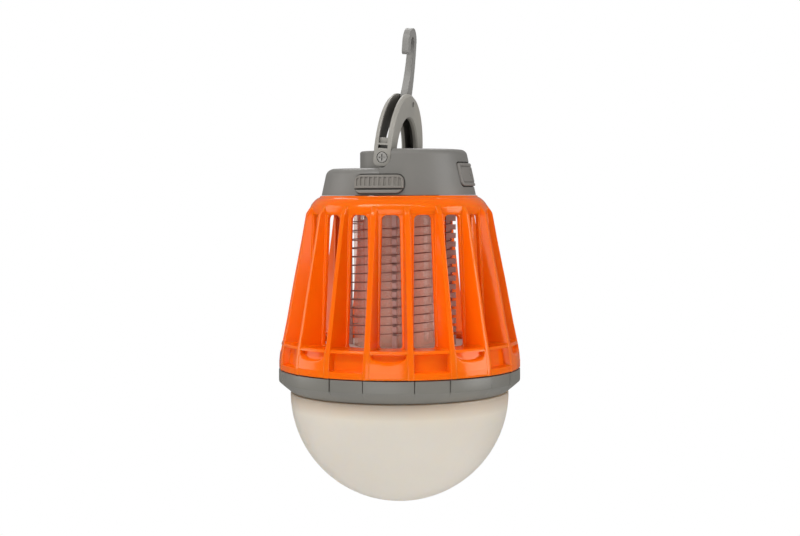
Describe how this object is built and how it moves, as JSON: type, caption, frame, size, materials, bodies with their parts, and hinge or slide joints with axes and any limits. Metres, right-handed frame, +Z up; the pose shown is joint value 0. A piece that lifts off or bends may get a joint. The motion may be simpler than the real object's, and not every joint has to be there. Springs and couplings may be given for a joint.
{
  "type": "electric bug zapper",
  "caption": "Hanging camping lantern with a wire insect grid in a ribbed cage, a milky screw-on diffuser, a folding bail and a fold-out hook.",
  "frame": {"origin": "lowest point of the round diffuser, on the object's vertical axis", "axes": "+Z up along the object's axis towards the hook; -Y the side with the charging port; +X the side with the lamp button"},
  "size_m": [0.088, 0.088, 0.1721],
  "materials": {
    "orange_abs": "glossy injection-moulded ABS",
    "grey_abs": "satin moulded ABS",
    "bail_nylon": "satin moulded nylon",
    "diffuser": "milky translucent polypropylene, satin",
    "white_abs": "satin moulded ABS",
    "clear_plastic": "clear acrylic tube",
    "seal_rubber": "soft black silicone",
    "button_rubber": "grey silicone",
    "cover_rubber": "grey silicone",
    "grid_steel": "bright drawn stainless wire",
    "steel": "nickel-plated steel",
    "screw_steel": "zinc-plated steel",
    "white_board": "white solder mask",
    "green_board": "green solder mask",
    "led_yellow": "phosphor under clear silicone",
    "led_clear": "clear epoxy over a violet emitter",
    "black_plastic": "moulded epoxy",
    "capacitor_red": "dipped film capacitor",
    "cell_wrap": "shrink sleeve"
  },
  "bodies": {
    "housing": {"battery_cell": "cell_wrap", "board_chips": "black_plastic", "boost_transformer": "black_plastic", "cage_base": "orange_abs", "cage_collar": "orange_abs", "cage_ribs": "orange_abs", "cell_carrier": "white_abs", "cell_plate": "steel", "cell_spring": "steel", "cell_top_tab": "steel", "charging_socket": "steel", "clear_tube": "clear_plastic", "grid_capacitor": "capacitor_red", "grid_ferrules": "steel", "grid_posts": "white_abs", "grid_wire_live": "grid_steel", "grid_wire_return": "grid_steel", "head_screws": "steel", "head_shell": "grey_abs", "lamp_board": "white_board", "lamp_board_screws": "steel", "lamp_leds": "led_yellow", "lamp_reflector": "white_abs", "lamp_switch": "black_plastic", "lower_deck": "white_abs", "main_board": "green_board", "pivot_screws": "screw_steel", "port_cover_root": "cover_rubber", "switch_boards": "green_board", "upper_deck": "white_abs", "uv_leds": "led_clear", "uv_strips": "white_board", "zapper_switch": "black_plastic"},
    "bail": {"bail": "bail_nylon", "hook_pin": "steel"},
    "hook": {"hook": "bail_nylon"},
    "lamp_button": {"lamp_button": "button_rubber"},
    "zapper_button": {"zapper_button": "button_rubber"},
    "port_cover": {"port_cover": "cover_rubber"},
    "shade_seal": {"shade_gasket": "seal_rubber"},
    "shade": {"diffuser_dome": "diffuser", "shade_ring": "grey_abs"}
  },
  "joints": [
    {"name": "bail_fold", "type": "hinge", "parent": "housing", "child": "bail", "pos_m": [0, 0, 0.1247], "axis": [0, -1, 0], "range_deg": [0, 94.2]},
    {"name": "hook_fold", "type": "hinge", "parent": "bail", "child": "hook", "pos_m": [0.00156, 0.0034, 0.14454], "axis": [0.9969, 0, -0.0785], "range_deg": [0, 109]},
    {"name": "lamp_button_press", "type": "slide", "parent": "housing", "child": "lamp_button", "axis": [-1, 0, 0], "range_m": [0, 0.0007], "stiffness_N_per_m": 900},
    {"name": "zapper_button_press", "type": "slide", "parent": "housing", "child": "zapper_button", "axis": [1, 0, 0], "range_m": [0, 0.0007], "stiffness_N_per_m": 900},
    {"name": "port_cover_flap", "type": "hinge", "parent": "housing", "child": "port_cover", "pos_m": [0, -0.02875, 0.11365], "axis": [1, 0, 0], "range_deg": [0, 100]},
    {"name": "shade_drop", "type": "slide", "parent": "housing", "child": "shade_seal", "axis": [0, 0, -1], "range_m": [0, 0.003]},
    {"name": "shade_twist", "type": "hinge", "parent": "shade_seal", "child": "shade", "pos_m": [0, 0, 0.045], "axis": [0, 0, 1], "range_deg": [0, 90]}
  ],
  "couplings": [
    {"joint": "shade_drop", "follows": "shade_twist", "m_per_rad": 0.0019099}
  ]
}
